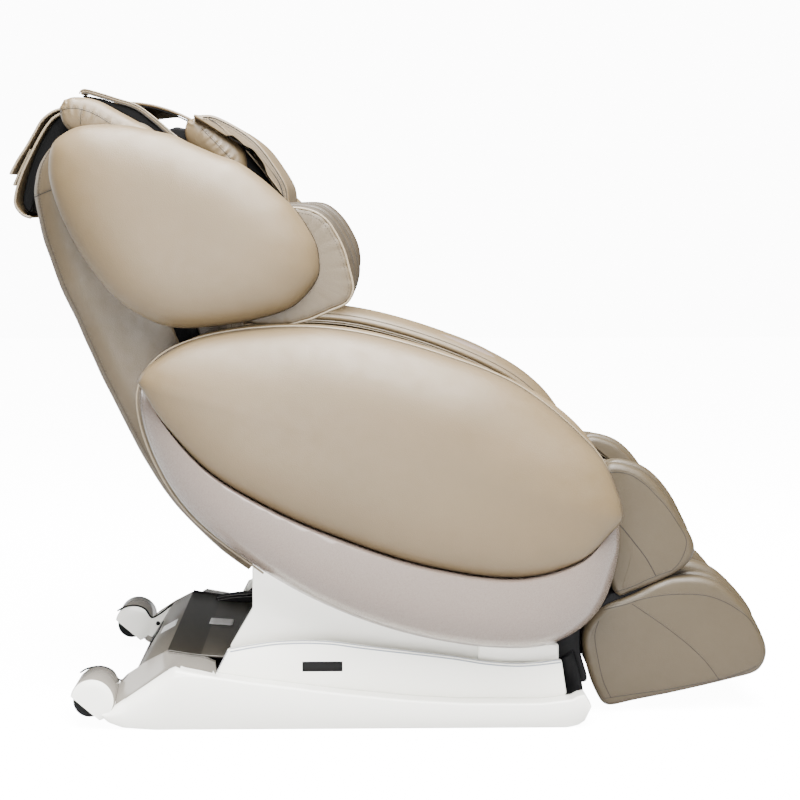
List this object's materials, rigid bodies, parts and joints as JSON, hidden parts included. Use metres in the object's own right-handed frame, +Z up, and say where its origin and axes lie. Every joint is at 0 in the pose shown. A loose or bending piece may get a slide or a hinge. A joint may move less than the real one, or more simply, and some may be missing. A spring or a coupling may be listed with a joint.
{
  "type": "massage chair",
  "caption": "Reclining zero-gravity massage chair with egg-shaped padded arms, head-side pads, sliding carriage, legrest and foot massager on a low white base.",
  "frame": {"origin": "middle of the footprint's box, on the floor", "axes": "+X the way the sitter faces, +Y to the sitter's left, +Z up"},
  "size_m": [1.474, 0.89, 1.187],
  "materials": {
    "leather": "satin",
    "leather_inner": "satin",
    "pearl_shell": "gloss",
    "white_plastic": "gloss",
    "brown_plastic": "satin",
    "black_plastic": "matte",
    "black_rubber": "matte",
    "painted_steel": "satin",
    "bright_steel": "satin"
  },
  "bodies": {
    "base": {"base_frame": "painted_steel", "control_box": "black_plastic", "air_pump": "black_plastic", "rear_cover": "brown_plastic", "power_inlet": "black_plastic", "front_cover": "black_plastic", "skirt_left": "white_plastic", "skirt_right": "white_plastic", "side_cover_left": "white_plastic", "side_cover_right": "white_plastic", "wheel_cover_left": "white_plastic", "wheel_cover_right": "white_plastic"},
    "power_rocker": {"power_switch": "black_plastic"},
    "wheel_left": {"transport_wheel_left": "black_rubber"},
    "wheel_right": {"transport_wheel_right": "black_rubber"},
    "carriage": {"carriage_frame": "painted_steel", "riser_cover_left": "white_plastic", "riser_cover_right": "white_plastic"},
    "lift_actuator": {"lift_actuator": "black_plastic"},
    "lift_rod": {"lift_rod": "bright_steel"},
    "seat": {"seat_frame": "painted_steel", "tilt_shaft": "bright_steel", "recline_shaft": "bright_steel", "seat_cushion": "leather_inner", "recline_actuator": "black_plastic", "legrest_actuator": "black_plastic", "arm_shell_left": "pearl_shell", "arm_shell_right": "pearl_shell", "arm_cushion_left": "leather", "arm_cushion_right": "leather", "arm_inner_pad_left": "leather_inner", "arm_inner_pad_right": "leather_inner"},
    "recline_rod": {"recline_rod": "bright_steel"},
    "legrest_rod": {"legrest_rod": "bright_steel"},
    "back": {"back_shell": "leather", "back_frame": "painted_steel", "back_cushion": "leather_inner", "rear_flap": "leather", "head_side_left": "leather", "head_side_right": "leather", "shoulder_wing_left": "leather", "shoulder_wing_right": "leather"},
    "pillow": {"head_pillow": "leather"},
    "roller_carriage": {"roller_carriage": "painted_steel"},
    "kneading_arm_left": {"kneading_arm_left": "bright_steel"},
    "kneading_arm_right": {"kneading_arm_right": "bright_steel"},
    "calf": {"calf_frame": "painted_steel", "calf_divider": "leather", "calf_side_left": "leather", "calf_side_right": "leather"},
    "foot": {"foot_base": "leather_inner", "foot_divider": "leather", "foot_side_left": "leather", "foot_side_right": "leather"},
    "foot_roller": {"foot_roller": "black_rubber"},
    "massage_roller_upper_left": {"massage_roller_upper_left": "black_rubber"},
    "massage_roller_upper_right": {"massage_roller_upper_right": "black_rubber"},
    "massage_roller_lower_left": {"massage_roller_lower_left": "black_rubber"},
    "massage_roller_lower_right": {"massage_roller_lower_right": "black_rubber"}
  },
  "joints": [
    {"name": "carriage_slide", "type": "slide", "parent": "base", "child": "carriage", "axis": [1, 0, 0], "range_m": [0, 0.12]},
    {"name": "seat_tilt", "type": "hinge", "parent": "carriage", "child": "seat", "pos_m": [-0.02, 0, 0.3], "axis": [0, -1, 0], "range_deg": [0, 25]},
    {"name": "back_recline", "type": "hinge", "parent": "seat", "child": "back", "pos_m": [-0.36, 0, 0.46], "axis": [0, -1, 0], "range_deg": [0, 30]},
    {"name": "legrest_lift", "type": "hinge", "parent": "seat", "child": "calf", "pos_m": [0.345, 0, 0.43], "axis": [0, -1, 0], "range_deg": [0, 80]},
    {"name": "foot_slide", "type": "slide", "parent": "calf", "child": "foot", "axis": [0.3746, 0, -0.9272], "range_m": [0, 0.15]},
    {"name": "lift_actuator_pivot", "type": "hinge", "parent": "carriage", "child": "lift_actuator", "pos_m": [0.115, -0.06, 0.125], "axis": [0, -1, 0], "range_deg": [0, 13.1]},
    {"name": "lift_rod_slide", "type": "slide", "parent": "lift_actuator", "child": "lift_rod", "axis": [0.3376, 0, 0.9413], "range_m": [0, 0.0747]},
    {"name": "recline_rod_slide", "type": "slide", "parent": "seat", "child": "recline_rod", "axis": [1, 0, 0], "range_m": [0, 0.0301]},
    {"name": "legrest_rod_slide", "type": "slide", "parent": "seat", "child": "legrest_rod", "axis": [1, 0, 0], "range_m": [0, 0.09]},
    {"name": "pillow_flip", "type": "hinge", "parent": "back", "child": "pillow", "pos_m": [-0.6, 0, 1.182], "axis": [0, -1, 0], "range_deg": [0, 60]},
    {"name": "roller_lift", "type": "slide", "parent": "back", "child": "roller_carriage", "axis": [-0.3437, 0, 0.9391], "range_m": [0, 0.28]},
    {"name": "kneading_left", "type": "hinge", "parent": "roller_carriage", "child": "kneading_arm_left", "pos_m": [-0.46044, 0.065, 0.70984], "axis": [0, 1, 0], "range_deg": [-8, 8]},
    {"name": "kneading_right", "type": "hinge", "parent": "roller_carriage", "child": "kneading_arm_right", "pos_m": [-0.46044, -0.065, 0.70984], "axis": [0, 1, 0], "range_deg": [-8, 8]},
    {"name": "massage_roller_upper_left_spin", "type": "hinge", "parent": "kneading_arm_left", "child": "massage_roller_upper_left", "pos_m": [-0.45664, 0.09, 0.77512], "axis": [0, 1, 0], "continuous": true},
    {"name": "massage_roller_upper_right_spin", "type": "hinge", "parent": "kneading_arm_right", "child": "massage_roller_upper_right", "pos_m": [-0.45664, -0.09, 0.77512], "axis": [0, 1, 0], "continuous": true},
    {"name": "massage_roller_lower_left_spin", "type": "hinge", "parent": "kneading_arm_left", "child": "massage_roller_lower_left", "pos_m": [-0.41541, 0.09, 0.66243], "axis": [0, 1, 0], "continuous": true},
    {"name": "massage_roller_lower_right_spin", "type": "hinge", "parent": "kneading_arm_right", "child": "massage_roller_lower_right", "pos_m": [-0.41541, -0.09, 0.66243], "axis": [0, 1, 0], "continuous": true},
    {"name": "foot_roller_spin", "type": "hinge", "parent": "foot", "child": "foot_roller", "pos_m": [0.5, 0, 0.079], "axis": [0, 1, 0], "continuous": true},
    {"name": "transport_wheel_left_spin", "type": "hinge", "parent": "base", "child": "wheel_left", "pos_m": [-0.582, 0.301, 0.05], "axis": [0, 1, 0], "continuous": true},
    {"name": "transport_wheel_right_spin", "type": "hinge", "parent": "base", "child": "wheel_right", "pos_m": [-0.582, -0.301, 0.05], "axis": [0, 1, 0], "continuous": true},
    {"name": "power_switch_rock", "type": "hinge", "parent": "base", "child": "power_rocker", "pos_m": [-0.50389, 0.125, 0.06328], "axis": [0, -1, 0], "range_deg": [0, 16]}
  ],
  "couplings": [
    {"joint": "back_recline", "follows": "carriage_slide", "rad_per_m": 4.3633},
    {"joint": "recline_rod_slide", "follows": "carriage_slide", "ratio": 0.25019},
    {"joint": "foot_slide", "follows": "legrest_lift", "m_per_rad": 0.10743},
    {"joint": "legrest_rod_slide", "follows": "legrest_lift", "m_per_rad": 0.064451},
    {"joint": "lift_actuator_pivot", "follows": "seat_tilt", "ratio": 0.52049},
    {"joint": "lift_rod_slide", "follows": "seat_tilt", "m_per_rad": 0.17103},
    {"joint": "kneading_right", "follows": "kneading_left", "ratio": -1}
  ]
}
